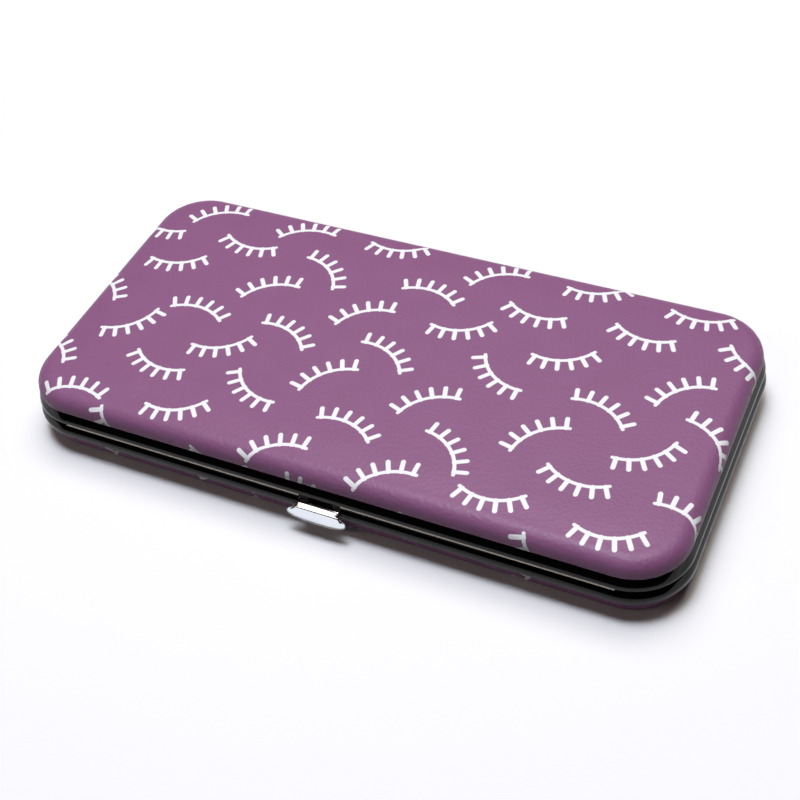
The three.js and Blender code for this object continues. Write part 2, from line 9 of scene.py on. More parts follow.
import bmesh
import bpy
import numpy as np
from mathutils import Matrix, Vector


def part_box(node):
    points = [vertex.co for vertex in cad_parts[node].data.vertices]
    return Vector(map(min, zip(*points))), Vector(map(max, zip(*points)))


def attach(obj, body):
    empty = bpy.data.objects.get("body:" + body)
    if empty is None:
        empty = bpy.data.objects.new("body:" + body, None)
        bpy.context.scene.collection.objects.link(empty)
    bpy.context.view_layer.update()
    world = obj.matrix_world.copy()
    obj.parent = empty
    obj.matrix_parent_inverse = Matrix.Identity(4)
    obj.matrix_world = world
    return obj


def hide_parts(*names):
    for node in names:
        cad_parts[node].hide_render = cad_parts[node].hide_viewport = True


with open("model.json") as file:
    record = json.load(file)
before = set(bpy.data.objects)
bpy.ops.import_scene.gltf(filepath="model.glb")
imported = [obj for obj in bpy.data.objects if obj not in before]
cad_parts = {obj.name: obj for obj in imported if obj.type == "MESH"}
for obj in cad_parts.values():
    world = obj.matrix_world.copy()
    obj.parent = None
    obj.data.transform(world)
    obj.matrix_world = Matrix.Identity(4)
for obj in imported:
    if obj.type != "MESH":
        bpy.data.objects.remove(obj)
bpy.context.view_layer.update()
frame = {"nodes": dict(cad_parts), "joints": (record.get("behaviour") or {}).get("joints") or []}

# Leatherette covers. Polyurethane leatherette, printed flat, glued over the padded shells and turned
# over their rounded edges; the raw edges are tucked into the frames.
MM = 0.001
SLIP = 0.01  # tolerance in tests of place
DOUBLE = 1e-7  # metres within which two points are one
CREASE = 35  # degrees beyond which an edge stays sharp
CORNER = 15.0  # radius of the frames' corners in plan
COVER_THICKNESS = 0.35
TUCK_INSET = 1.43  # of the tucked part from the outside of the frames
TUCK_END = 3.75  # height from the seam where the covers swell out over the frames' edges
EDGE_POWER = 2.4  # squareness of the rounded edges, 2 for an ellipse
LID_RIM = 3.2  # height from the seam where the cover starts, inside the frame
LID_INSET = 0.75  # of the widest part
LID_EDGE_START = 4.0  # height from the seam where the rounded edge starts
LID_FLAT = 5.7  # inset where the rounded edge ends
LID_CROWN = 0.4
CROWN_END = 14.0  # inset where the crown of the lid is level
BASE_RIM = 1.2
BASE_INSET = 1.0
BASE_EDGE_START = 4.4
BASE_FLAT = 4.5
PUCKER_DEPTH = 0.05  # of the gathers in the corners
PUCKERS = 14  # round a corner
SLACK_DEPTH = 0.07  # of the padding's soft unevenness
SLACK_WAVE = (41.0, 29.0)  # lengths of that unevenness along X and Y
SLACK_PHASE = 0.6
TUCK_ROWS = 4  # points along each part of a cover's section
SWELL_ROWS = 5
EDGE_ROWS = 25
CROWN_ROWS = 12
POCKET_HALF = 9.0  # of the gap in the covers and linings round the clasp, along X
POCKET_DEPTH = 3.61  # of that gap in the covers, from the seam


def node_box(name):
    """Lowest and highest corner of a CAD node, in millimetres."""
    low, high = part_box(name)
    return np.array(low) / MM, np.array(high) / MM


base_frame_high = node_box("base_frame")[1]
lid_frame_low = node_box("lid_frame")[0]
SEAM = (base_frame_high[2] + lid_frame_low[2]) / 2
HALF_LENGTH = base_frame_high[0]
HALF_WIDTH = base_frame_high[1]
INNER_HALF = np.array([HALF_LENGTH - CORNER, HALF_WIDTH - CORNER])  # to the corners' centres
LONG_STEPS = 50  # along a long side in plan, so that points fall on the ends of the pocket
SHORT_STEPS = 20  # along a short side
CORNER_STEPS = 20  # round a corner


def plan_path():
    """Spine and outward normals of the case's plan, anticlockwise from the right side. The spine is
    the rectangle through the corners' centres, and the outline at inset q is
    spine + (corner radius - q) * normal."""
    half = INNER_HALF
    spine = []
    normal = []
    for quarter in range(4):
        turn = np.array([[0, -1], [1, 0]])
        facing = np.linalg.matrix_power(turn, quarter) @ np.array([1, 0])
        along = turn @ facing
        steps = SHORT_STEPS if quarter % 2 == 0 else LONG_STEPS
        share = np.linspace(-1, 1, steps, endpoint=False)[:, None]
        spine.append(half * facing + share * half * along)
        normal.append(np.broadcast_to(facing, (steps, 2)))
        angle = np.linspace(0, math.pi / 2, CORNER_STEPS, endpoint=False)[:, None]
        spine.append(np.broadcast_to(half * facing + half * along, (CORNER_STEPS, 2)))
        normal.append(np.cos(angle) * facing + np.sin(angle) * along)
    return np.concatenate(spine), np.concatenate(normal)


SPINE, OUTWARD = plan_path()


def rings(insets, heights):
    """Points of plan outlines, one row for each inset and height."""
    flat = SPINE + (CORNER - np.asarray(insets))[:, None, None] * OUTWARD
    level = np.broadcast_to(np.asarray(heights)[:, None, None], (*flat.shape[:2], 1))
    return np.concatenate([flat, level], 2)


def grid_faces(rows, columns, round_rows=False, round_columns=True, start=0):
    """Quads between the rows and columns of a grid of points, joined end to end where it is round."""
    index = start + np.arange(rows * columns).reshape(rows, columns)
    if round_rows:
        index = np.vstack([index, index[:1]])
    if round_columns:
        index = np.hstack([index, index[:, :1]])
    corners = [index[:-1, :-1], index[:-1, 1:], index[1:, 1:], index[1:, :-1]]
    return np.stack(corners, -1).reshape(-1, 4)


def dish_surface(insets, heights):
    """Dish from its rim to its middle: plan outlines ring by ring as far as the rectangle through the
    corners' centres, and a plain grid inside that. Gives points, quads, and for each point its place
    on the sheet before it was turned over the edge: the way along the section is laid out flat."""
    outer = rings(insets, heights)
    lengths = np.hypot(np.diff(insets), np.diff(heights))
    reach = np.append(np.cumsum(lengths[::-1])[::-1], 0)
    laid = SPINE + reach[:, None, None] * OUTWARD
    x = np.linspace(-1, 1, LONG_STEPS + 1) * (HALF_LENGTH - CORNER)
    y = np.linspace(-1, 1, SHORT_STEPS + 1) * (HALF_WIDTH - CORNER)
    middle = np.stack(np.meshgrid(x, y), -1).reshape(-1, 2)
    level = np.full((len(middle), 1), heights[-1])
    points = np.vstack([outer.reshape(-1, 3), np.hstack([middle, level])])
    laid = np.vstack([laid.reshape(-1, 2), middle])
    count = len(SPINE)
    band = grid_faces(len(insets), count)
    inside = grid_faces(len(y), len(x), round_columns=False, start=len(insets) * count)
    return points, np.vstack([band, inside]), laid


def without_pocket(points, faces, reach, *fields):
    """Takes the clasp's pocket out of a dish: the faces in front that lie within the pocket's half length
    of the middle and within reach of the seam, and the points that only they used."""
    x, y, height = points.T
    inside = (np.abs(x) < POCKET_HALF + SLIP) & (y < 0) & (height < reach)
    kept = faces[~inside[faces].all(1)]
    used, index = np.unique(kept, return_inverse=True)
    return points[used], index.reshape(-1, 4), *(field[used] for field in fields)


def make_piece(name, points, faces, **fields):
    """Mesh object of points in millimetres. Doubled points are merged, edges sharper than the crease
    angle stay sharp, and each further value becomes a point attribute."""
    mesh = bpy.data.meshes.new(name)
    corners = faces.tolist() if isinstance(faces, np.ndarray) else faces
    mesh.from_pydata(np.asarray(points) * MM, [], corners)
    for field, values in fields.items():
        flat = np.asarray(values, np.float32)
        kind, key = ("FLOAT", "value") if flat.ndim == 1 else ("FLOAT_VECTOR", "vector")
        mesh.attributes.new(field, kind, "POINT").data.foreach_set(key, flat.ravel())
    work = bmesh.new()
    work.from_mesh(mesh)
    bmesh.ops.remove_doubles(work, verts=work.verts, dist=DOUBLE)
    work.to_mesh(mesh)
    work.free()
    mesh.polygons.foreach_set("use_smooth", np.ones(len(mesh.polygons), bool))
    mesh.set_sharp_from_angle(angle=math.radians(CREASE))
    made = bpy.data.objects.new(name, mesh)
    bpy.context.scene.collection.objects.link(made)
    return made


def settle(piece, material, body, slot, *nodes):
    """Gives a piece its finish and its CAD body, and hides the CAD nodes that it stands for."""
    piece.data.materials.append(material)
    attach(piece, body)
    if nodes:
        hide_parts(*nodes)
    return piece


def linear(colour):
    """Linear RGBA of an sRGB hex colour."""
    share = np.array([int(colour[k:k + 2], 16) for k in (1, 3, 5)]) / 255
    value = np.where(share <= 0.04045, share / 12.92, ((share + 0.055) / 1.055) ** 2.4)
    return (*value.tolist(), 1.0)


def feed(node, feeds):
    """Sets or links a node's inputs, by name or number."""
    for socket, value in feeds.items():
        if isinstance(value, bpy.types.NodeSocket):
            node.id_data.links.new(value, node.inputs[socket])
        else:
            node.inputs[socket].default_value = value
    return node


def add(nodes, kind, feeds, **settings):
    """Adds one node, with its settings and what feeds its inputs."""
    made = nodes.new("ShaderNode" + kind)
    for setting, value in settings.items():
        setattr(made, setting, value)
    return feed(made, feeds)


def new_finish(name):
    """A node material, its nodes and its shader."""
    material = bpy.data.materials.new(name)
    material.use_nodes = True
    nodes = material.node_tree.nodes
    return material, nodes, nodes["Principled BSDF"]


def noise(nodes, place, size, detail, roughness=0.5):
    """Noise with features of a size in millimetres."""
    feeds = {"Vector": place, "Scale": 1 / (size * MM), "Detail": detail, "Roughness": roughness}
    return add(nodes, "TexNoise", feeds).outputs[0]


def blend(nodes, share, first, second):
    """Colour between two others, the second where the share is 1."""
    feeds = {0: share, 6: first, 7: second}
    return add(nodes, "Mix", feeds, data_type="RGBA").outputs[2]


def between(nodes, share, span):
    """Value between the ends of a span, the second where the share is 1."""
    return add(nodes, "MapRange", {"Value": share, "To Min": span[0], "To Max": span[1]}).outputs[0]


def relief(nodes, height, depth, strength=1.0):
    """Normal of a surface whose relief has a depth in millimetres."""
    feeds = {"Height": height, "Distance": depth * MM, "Strength": strength}
    return add(nodes, "Bump", feeds).outputs[0]


# Print of shut eyes with lashes: an arc with six short strokes on its outside, tossed at various
# tilts, some upside down. Sizes in millimetres of the flat sheet.
PRINT_CELL = (29.0, 25.0)  # one motif in each cell of two lattices, one set between the other
PRINT_SHIFT = (2.6, 2.0)  # how far a motif may lie from the middle of its cell, in all
ARC_RADIUS = 13.2
ARC_HALF = math.radians(37)  # half of the arc's angle
LASHES = 6
LASH_STEP = math.radians(13.2)  # between neighbouring lashes
LASH_LENGTH = 3.1
ARC_STROKE = 0.95  # widths of the printed lines
LASH_STROKE = 1.2
INK_EDGE = 0.08  # half width of the ink's soft edge
MOTIF_MIDDLE = 13.6  # from the arc's centre to the middle of the motif
TILT_RANGE = math.radians(44)
UPSIDE_DOWN = 0.5  # share of the motifs
LATTICES = (((0.0, 0.0), math.radians(-26)), ((14.5, 12.5), math.radians(22)))  # place and lean


def lash_ink(nodes, laid):
    """Share of ink at a place on the flat sheet. In each cell the place is moved and turned by random
    numbers of the cell, and read as radius and angle about the arc's centre. The distance to the arc
    is that to its radius within its angle, and the distance to a lash is that to the nearest multiple
    of the lashes' step."""
    inks = []
    for number, (corner, lean) in enumerate(LATTICES):
        apart = add(nodes, "VectorMath", {0: laid, 1: (*corner, number)}, operation="ADD").outputs[0]
        cells = add(nodes, "VectorMath", {0: apart, 1: (*PRINT_CELL, 1)}, operation="DIVIDE").outputs[0]
        cell = add(nodes, "VectorMath", {0: cells}, operation="FLOOR").outputs[0]
        within = add(nodes, "VectorMath", {0: cells}, operation="FRACTION").outputs[0]
        chance = add(nodes, "TexWhiteNoise", {"Vector": cell}, noise_dimensions="3D")
        middle = [-(side + shift) / 2 for side, shift in zip(PRINT_CELL, PRINT_SHIFT)]
        feeds = {0: within, 1: (*PRINT_CELL, 0), 2: (*middle, 0)}
        centred = add(nodes, "VectorMath", feeds, operation="MULTIPLY_ADD").outputs[0]
        feeds = {0: chance.outputs["Color"], 1: (*PRINT_SHIFT, 0), 2: centred}
        moved = add(nodes, "VectorMath", feeds, operation="MULTIPLY_ADD").outputs[0]
        feeds = {0: chance.outputs["Value"], 1: TILT_RANGE, 2: lean - TILT_RANGE / 2}
        tilt = add(nodes, "Math", feeds, operation="MULTIPLY_ADD").outputs[0]
        spare = add(nodes, "SeparateXYZ", {0: chance.outputs["Color"]}).outputs["Z"]
        flip = add(nodes, "Math", {0: spare, 1: 1 - UPSIDE_DOWN}, operation="GREATER_THAN").outputs[0]
        feeds = {0: flip, 1: math.pi, 2: tilt}
        turn = add(nodes, "Math", feeds, operation="MULTIPLY_ADD").outputs[0]
        feeds = {"Vector": moved, "Angle": turn}
        turned = add(nodes, "VectorRotate", feeds, rotation_type="Z_AXIS").outputs[0]
        feeds = {0: turned, 1: (0, MOTIF_MIDDLE, 0)}
        eye = add(nodes, "VectorMath", feeds, operation="ADD").outputs[0]
        radius = add(nodes, "VectorMath", {0: eye}, operation="LENGTH").outputs["Value"]
        part = add(nodes, "SeparateXYZ", {0: eye})
        feeds = {0: part.outputs["X"], 1: part.outputs["Y"]}
        angle = add(nodes, "Math", feeds, operation="ARCTAN2").outputs[0]
        angle = add(nodes, "Math", {0: angle}, operation="ABSOLUTE").outputs[0]

        feeds = {0: angle, 1: ARC_HALF}
        past = add(nodes, "Math", feeds, operation="SUBTRACT", use_clamp=True).outputs[0]
        past = add(nodes, "Math", {0: past, 1: ARC_RADIUS}, operation="MULTIPLY").outputs[0]
        off = add(nodes, "Math", {0: radius, 1: ARC_RADIUS}, operation="SUBTRACT").outputs[0]
        arc = add(nodes, "CombineXYZ", {0: past, 1: off}).outputs[0]
        arc = add(nodes, "VectorMath", {0: arc}, operation="LENGTH").outputs["Value"]

        wave = add(nodes, "Math", {0: angle, 1: LASH_STEP / 2}, operation="PINGPONG").outputs[0]
        beside = add(nodes, "Math", {0: LASH_STEP / 2, 1: wave}, operation="SUBTRACT").outputs[0]
        feeds = {0: angle, 1: (LASHES - 1) / 2 * LASH_STEP}
        last = add(nodes, "Math", feeds, operation="SUBTRACT").outputs[0]
        beside = add(nodes, "Math", {0: beside, 1: last}, operation="MAXIMUM").outputs[0]
        beside = add(nodes, "Math", {0: beside, 1: radius}, operation="MULTIPLY").outputs[0]
        feeds = {"Value": radius, "Min": ARC_RADIUS, "Max": ARC_RADIUS + LASH_LENGTH}
        held = add(nodes, "Clamp", feeds).outputs[0]
        beyond = add(nodes, "Math", {0: radius, 1: held}, operation="SUBTRACT").outputs[0]
        lash = add(nodes, "CombineXYZ", {0: beside, 1: beyond}).outputs[0]
        lash = add(nodes, "VectorMath", {0: lash}, operation="LENGTH").outputs["Value"]
        feeds = {0: lash, 1: (LASH_STROKE - ARC_STROKE) / 2}
        lash = add(nodes, "Math", feeds, operation="SUBTRACT").outputs[0]
        inks.append(add(nodes, "Math", {0: arc, 1: lash}, operation="MINIMUM").outputs[0])
    near = add(nodes, "Math", {0: inks[0], 1: inks[1]}, operation="MINIMUM").outputs[0]
    feeds = {"Value": near, "From Min": ARC_STROKE / 2 + INK_EDGE, "From Max": ARC_STROKE / 2 - INK_EDGE}
    return add(nodes, "MapRange", feeds).outputs[0]


# Printed polyurethane leatherette: an embossed pebble grain under a soft plastic gloss, a little
# uneven in colour, with fine wrinkles where it is stretched over the edges. The real pebbles are about
# half a millimetre and are drawn twice as wide so that they show.
LEATHER_DARK = "#8A5880"
LEATHER_LIGHT = "#915E88"
INK_WHITE = "#F6F6F8"
LEATHER_GLOSS = (0.38, 0.54)  # roughness at the middle of a pebble and beside it
LEATHER_IOR = 1.5
LEATHER_SPECULAR = 0.35
PEBBLE = 0.9
PEBBLE_HEIGHT = 0.075
PEBBLE_MERGE = 0.4  # how far pebbles run into each other
WRINKLE = 1.7
WRINKLE_HEIGHT = 0.11
MOTTLE = 7.0  # size of the patches of lighter and darker colour


def leatherette():
    """Grain, wrinkles and mottling on Object coordinates, print on the flat sheet's coordinates."""
    material, nodes, shader = new_finish("printed_leatherette")
    laid = add(nodes, "Attribute", {}, attribute_name="laid").outputs["Vector"]
    over = add(nodes, "Attribute", {}, attribute_name="over").outputs["Fac"]
    ink = lash_ink(nodes, laid)
    place = add(nodes, "TexCoord", {}).outputs["Object"]
    mottle = noise(nodes, place, MOTTLE, 4)
    wrinkle = noise(nodes, place, WRINKLE, 5, 0.7)
    feeds = {"Vector": place, "Scale": 1 / (PEBBLE * MM), "Smoothness": PEBBLE_MERGE}
    pebble = add(nodes, "TexVoronoi", feeds, feature="SMOOTH_F1").outputs["Distance"]
    hide = blend(nodes, mottle, linear(LEATHER_DARK), linear(LEATHER_LIGHT))
    colour = blend(nodes, ink, hide, linear(INK_WHITE))
    gloss = between(nodes, pebble, LEATHER_GLOSS)
    feeds = {"Height": pebble, "Distance": PEBBLE_HEIGHT * MM, "Strength": 1.0}
    grain = add(nodes, "Bump", feeds, invert=True).outputs[0]
    wrinkle = add(nodes, "Math", {0: wrinkle, 1: over}, operation="MULTIPLY").outputs[0]
    feeds = {"Height": wrinkle, "Distance": WRINKLE_HEIGHT * MM, "Strength": 1.0, "Normal": grain}
    normal = add(nodes, "Bump", feeds).outputs[0]
    feed(shader, {"Base Color": colour, "Roughness": gloss, "Normal": normal})
    feed(shader, {"IOR": LEATHER_IOR, "Specular IOR Level": LEATHER_SPECULAR})
    return material


def smooth_step(value):
    """0 below 0, 1 above 1, and a smooth rise between."""
    share = np.clip(value, 0, 1)
    return share * share * (3 - 2 * share)


def cover(name, side, height, crown, rim, inset, edge_start, flat):
    """Cover of one half. The section goes up inside the frame, swells out over the frame's edge, turns
    over a superelliptic edge and rises along the crown to the middle. A crowned cover also has gathered
    corners, a sine round each, and uneven padding, a product of two waves."""
    top = height - crown
    run = flat - inset
    tuck = np.linspace(rim, TUCK_END, TUCK_ROWS)
    swell = np.linspace(0, 1, SWELL_ROWS + 2)[1:-1]
    turn = np.linspace(0, math.pi / 2, EDGE_ROWS)
    out = np.clip(np.cos(turn), 0, 1) ** (2 / EDGE_POWER)
    up = np.sin(turn) ** (2 / EDGE_POWER)
    share = np.linspace(0, 1, CROWN_ROWS + 1)[1:]
    insets = np.concatenate([
        np.full(TUCK_ROWS, TUCK_INSET),
        TUCK_INSET + (inset - TUCK_INSET) * smooth_step(swell),
        inset + run * (1 - out),
        flat + (CROWN_END - flat) * share,
        [CORNER],
    ])
    heights = np.concatenate([
        tuck,
        TUCK_END + (edge_start - TUCK_END) * swell,
        edge_start + (top - edge_start) * up,
        top + crown * np.sin(share * math.pi / 2),
        [height],
    ])
    points, faces, laid = dish_surface(insets, heights)
    reach = laid - np.clip(laid, -INNER_HALF, INNER_HALF)
    over = np.clip((np.linalg.norm(reach, axis=1) - (CORNER - flat)) / run, 0, 1)
    corner = np.arctan2(*reach.T)
    gather = over * np.sin(2 * corner) ** 2 * np.sin(4 * PUCKERS * corner)
    wave = points[:, :2] / np.array(SLACK_WAVE) * math.pi
    slack = 0.5 + 0.5 * np.sin(wave[:, 0] + SLACK_PHASE) * np.cos(wave[:, 1])
    if crown > 0:
        points[:, 2] += PUCKER_DEPTH * gather - SLACK_DEPTH * (1 - over) * slack
    laid = np.pad(laid, ((0, 0), (0, 1)))
    points, faces, laid, over = without_pocket(points, faces, POCKET_DEPTH, laid, over)
    points[:, 2] = SEAM + side * points[:, 2]
    made = make_piece(name, points, faces if side > 0 else faces[:, ::-1], laid=laid, over=over)
    wall = made.modifiers.new("thickness", "SOLIDIFY")
    wall.thickness = COVER_THICKNESS * MM
    wall.offset = -1
    return made


LEATHERETTE = leatherette()
base_height = SEAM - node_box("base_cover")[0][2]
lid_height = node_box("lid_cover")[1][2] - SEAM
base_cover = cover(
    "base_leatherette", -1, base_height, 0.0, BASE_RIM, BASE_INSET, BASE_EDGE_START, BASE_FLAT
)
settle(base_cover, LEATHERETTE, "base", "leatherette", "base_cover")
lid_cover = cover(
    "lid_leatherette", 1, lid_height, LID_CROWN, LID_RIM, LID_INSET, LID_EDGE_START, LID_FLAT
)
settle(lid_cover, LEATHERETTE, "lid", "leatherette", "lid_cover")

# Channel frames. Strip steel rolled to a convex face round each half, its free edge closed on to the
# leatherette and its inner edge folded up as a low leg, finished in black stoving enamel.
FRAME_GAUGE = 0.4
FRAME_BREADTH = 3.9  # inset of the inner leg's inside
FRAME_FOLD = 0.75  # outside radius of the inner fold
FRAME_LEG = 2.9  # height from the seam of the middle of the inner leg's edge
NOTCH_HALF = 5.8  # of the notch for the clasp, along X
NOTCH_DEPTH = 3.3  # below the seam
NOTCH_BACK = 2.5  # from the front
SLOT_HALF = 3.4  # of the slot for the hook, along X
SLOT_FRONT = 1.0  # from the front
SLOT_BACK = 2.3
SLOT_HEIGHT = 1.3  # above the seam
CUT_PAST = 1.0  # how far a cutter stands out of its piece
FACE_ROWS = 73  # points along a face, a fold and a rounded edge
FOLD_ROWS = 9
ROUND_ROWS = 8
WEB = lid_frame_low[2] - SEAM  # height of the frames' flat webs from the seam
# Faces from the free edge to the web: the way along in millimetres and the lean of the face there in
# degrees, with 0 for upright and -90 for the web. The base's face ends in a slope that catches light.
LID_FACE = ((0.0, 34), (2.4, 30.5), (2.55, 18), (3.35, 0), (4.05, -90))
BASE_FACE = (
    (0.0, 5), (0.9, 0), (1.75, -26), (1.85, -31), (3.05, -34), (3.2, -53), (4.13, -53), (4.58, -90)
)
LID_CREST = 0.0  # inset of the faces' outermost line
BASE_CREST = -0.45


def face_line(stations, crest):
    """Outside of a frame's face as ways along, leans, insets and heights from the seam. The lean changes
    evenly between stations, and the line is the sum of short steps in the direction of the lean."""
    ways, leans = np.array(stations).T
    way = np.linspace(0, ways[-1], FACE_ROWS)
    lean = np.radians(np.interp(way, ways, leans))
    middle = (lean[1:] + lean[:-1]) / 2
    steps = np.stack([-np.sin(middle), -np.cos(middle)], 1) * (way[1] - way[0])
    line = np.vstack([[0, 0], np.cumsum(steps, 0)])
    inset = line[:, 0] - line[:, 0].min() + crest
    return way, lean, inset, line[:, 1] - line[-1, 1] + WEB


def channel_section(face):
    """Closed section of the channel as insets and heights from the seam: the face, an arc for the inner
    fold and half rounds for the edges. The inside runs back along the same line, a gauge further in."""
    _, lean, inset, height = face
    turn = np.linspace(-math.pi / 2, -math.pi, FOLD_ROWS)
    fold = (FRAME_BREADTH - FRAME_FOLD, WEB + FRAME_FOLD)
    lean = np.concatenate([lean, turn])
    inset = np.concatenate([inset, fold[0] - FRAME_FOLD * np.cos(turn)])
    height = np.concatenate([height, fold[1] + FRAME_FOLD * np.sin(turn)])
    outside = np.stack([inset, height], 1)
    inwards = np.stack([np.cos(lean), -np.sin(lean)], 1)
    inside = outside + FRAME_GAUGE * inwards
    half = FRAME_GAUGE / 2
    sweep = np.linspace(0, math.pi, ROUND_ROWS)[:, None]
    leg_middle = np.array([FRAME_BREADTH - half, FRAME_LEG])
    leg_edge = leg_middle + half * np.hstack([np.cos(sweep), np.sin(sweep)])
    free_middle = outside[0] + half * inwards[0]
    onward = np.array([math.sin(lean[0]), math.cos(lean[0])])
    free_edge = free_middle + half * (np.cos(sweep) * inwards[0] + np.sin(sweep) * onward)
    return np.vstack([outside, leg_edge, inside[::-1], free_edge[1:-1]])


def box_points(low, high):
    """Corners and outward faces of a box."""
    unit = np.array([[x, y, z] for z in (0, 1) for x, y in ((0, 0), (1, 0), (1, 1), (0, 1))])
    faces = [(3, 2, 1, 0), (4, 5, 6, 7), (0, 1, 5, 4), (1, 2, 6, 5), (2, 3, 7, 6), (3, 0, 4, 7)]
    return np.array(low) + unit * (np.array(high) - np.array(low)), faces


def cut(piece, low, high):
    """Takes a box out of a piece."""
    cutter = make_piece("cutter", *box_points(low, high))
    tool = piece.modifiers.new("cut", "BOOLEAN")
    tool.object = cutter
    tool.operation = "DIFFERENCE"
    tool.solver = "EXACT"
    shown = piece.evaluated_get(bpy.context.evaluated_depsgraph_get())
    mesh = bpy.data.meshes.new_from_object(shown)
    piece.modifiers.remove(tool)
    piece.data = mesh
    mesh.set_sharp_from_angle(angle=math.radians(CREASE))
    bpy.data.objects.remove(cutter)


# Black stoving enamel on steel: near black and glossy, with the faint ripple of a sprayed coat and a
# little dust in its gloss.
ENAMEL_BLACK = "#070708"
ENAMEL_GLOSS = (0.03, 0.09)  # roughness of the clean and of the dusty coat
ENAMEL_IOR = 1.45
ENAMEL_SPECULAR = 0.28
DUST = 0.4
RIPPLE = 2.4
RIPPLE_HEIGHT = 0.0012


def enamel():
    """Ripple and dust on Object coordinates."""
    material, nodes, shader = new_finish("black_stoving_enamel")
    place = add(nodes, "TexCoord", {}).outputs["Object"]
    gloss = between(nodes, noise(nodes, place, DUST, 3), ENAMEL_GLOSS)
    normal = relief(nodes, noise(nodes, place, RIPPLE, 2), RIPPLE_HEIGHT)
    feed(shader, {"Base Color": linear(ENAMEL_BLACK), "Roughness": gloss, "Normal": normal})
    feed(shader, {"IOR": ENAMEL_IOR, "Specular IOR Level": ENAMEL_SPECULAR})
    return material


ENAMEL = enamel()
FACE_LINES = {1: face_line(LID_FACE, LID_CREST), -1: face_line(BASE_FACE, BASE_CREST)}


def channel(name, side):
    """Channel frame: the section carried round the plan outline."""
    section = channel_section(FACE_LINES[side])
    points = rings(section[:, 0], section[:, 1]).reshape(-1, 3)
    faces = grid_faces(len(section), len(SPINE), round_rows=True)
    points[:, 2] = SEAM + side * points[:, 2]
    return make_piece(name, points, faces[:, ::-1] if side > 0 else faces)


base_frame = channel("base_enamel_frame", -1)
cut(
    base_frame,
    (-NOTCH_HALF, -HALF_WIDTH - CUT_PAST, SEAM - NOTCH_DEPTH),
    (NOTCH_HALF, NOTCH_BACK - HALF_WIDTH, SEAM + CUT_PAST),
)
settle(base_frame, ENAMEL, "base", "lacquer", "base_frame")
lid_frame = channel("lid_enamel_frame", 1)
cut(
    lid_frame,
    (-SLOT_HALF, SLOT_FRONT - HALF_WIDTH, SEAM - CUT_PAST),
    (SLOT_HALF, SLOT_BACK - HALF_WIDTH, SEAM + SLOT_HEIGHT),
)
settle(lid_frame, ENAMEL, "lid", "lacquer", "lid_frame")

# Linings. Black flocked velvet glued over the inside of each half, its edge hidden behind the inner
# leg of the frame.
LINING_INSET = 3.2
LINING_RIM = 0.95
LINING_RUN = 2.0  # half axes of the curve from the wall to the floor
LINING_RISE = 1.9
LINING_THICKNESS = 0.4
LINING_FACE = 0.5  # of the cloth's face above the outside of its solid
LINING_SWELL = 0.12  # of the glued cloth
SWELL_FADE = 0.3  # height from the floor over which the swelling fades
SWELL_X = (17.0, 41.0)  # lengths of the swelling's two waves
SWELL_Y = (11.0, 13.0)
WALL_ROWS = 4  # points along each part of a lining's section
CURVE_ROWS = 13
FLOOR_ROWS = 6

# Black flocked velvet: dark and soft, lighter along grazing edges, with patches of painted sheen where the
# pile is laid over, and painted shade between the fibres. The real pile is far finer than half a
# millimetre, and it is drawn coarser so that it shows.
PILE = 0.5
PILE_HEIGHT = 0.12
SHEEN_PATCH = 14.0  # size of the patches of painted sheen
VELVET_BLACK = "#1B181D"
# painted sheen of laid-over pile, lighter than the velvet's own black
VELVET_PAINTED_SHEEN = "#2A252D"
VELVET_PAINTED_SHADE = "#0C0A0D"  # painted shade between the fibres
VELVET_ROUGHNESS = 0.9
VELVET_SPECULAR = 0.2
VELVET_SHEEN = 0.5
SHEEN_ROUGHNESS = 0.35


def velvet():
    """Pile and patches of painted sheen on Object coordinates; the pile also paints shade between the
    fibres.
    """
    material, nodes, shader = new_finish("black_flocked_velvet")
    place = add(nodes, "TexCoord", {}).outputs["Object"]
    pile_and_shade = noise(nodes, place, PILE, 3, 0.7)
    sheen_patches = noise(nodes, place, SHEEN_PATCH, 2)
    # The lighter patches are painted sheen, and the dark between the fibres is painted shade.
    colour = blend(nodes, sheen_patches, linear(VELVET_BLACK), linear(VELVET_PAINTED_SHEEN))
    colour = blend(nodes, pile_and_shade, colour, linear(VELVET_PAINTED_SHADE))
    normal = relief(nodes, pile_and_shade, PILE_HEIGHT)
    feed(shader, {"Base Color": colour, "Roughness": VELVET_ROUGHNESS, "Normal": normal})
    feed(shader, {"Specular IOR Level": VELVET_SPECULAR})
    feed(shader, {"Sheen Weight": VELVET_SHEEN, "Sheen Roughness": SHEEN_ROUGHNESS})
    return material


VELVET = velvet()


def lining(name, side, floor):
    """Lining of one half: a dish seen from its inside, with upright walls, an elliptic curve to the floor
    and a floor gently swollen by a product of two waves."""
    turn = np.linspace(0, math.pi / 2, CURVE_ROWS)
    insets = np.concatenate([
        np.full(WALL_ROWS, LINING_INSET),
        LINING_INSET + LINING_RUN * (1 - np.cos(turn)),
        np.linspace(LINING_INSET + LINING_RUN, CORNER, FLOOR_ROWS + 1)[1:],
    ])
    heights = np.concatenate([
        np.linspace(LINING_RIM, floor - LINING_RISE, WALL_ROWS + 1)[:-1],
        floor - LINING_RISE * (1 - np.sin(turn)),
        np.full(FLOOR_ROWS, floor),
    ])
    points, faces, laid = dish_surface(insets, heights)
    x, y = laid.T
    swell = np.sin(x / SWELL_X[0] + np.cos(y / SWELL_Y[0])) * np.cos(y / SWELL_Y[1] - x / SWELL_X[1])
    inside = np.clip((points[:, 2] - (floor - SWELL_FADE)) / SWELL_FADE, 0, 1)
    points[:, 2] -= LINING_SWELL * inside * (0.5 + 0.5 * swell)
    points, faces = without_pocket(points, faces, FRAME_LEG)
    points[:, 2] = SEAM + side * points[:, 2]
    made = make_piece(name, points, faces[:, ::-1] if side > 0 else faces)
    cloth = made.modifiers.new("thickness", "SOLIDIFY")
    cloth.thickness = LINING_THICKNESS * MM
    cloth.offset = -1
    return made


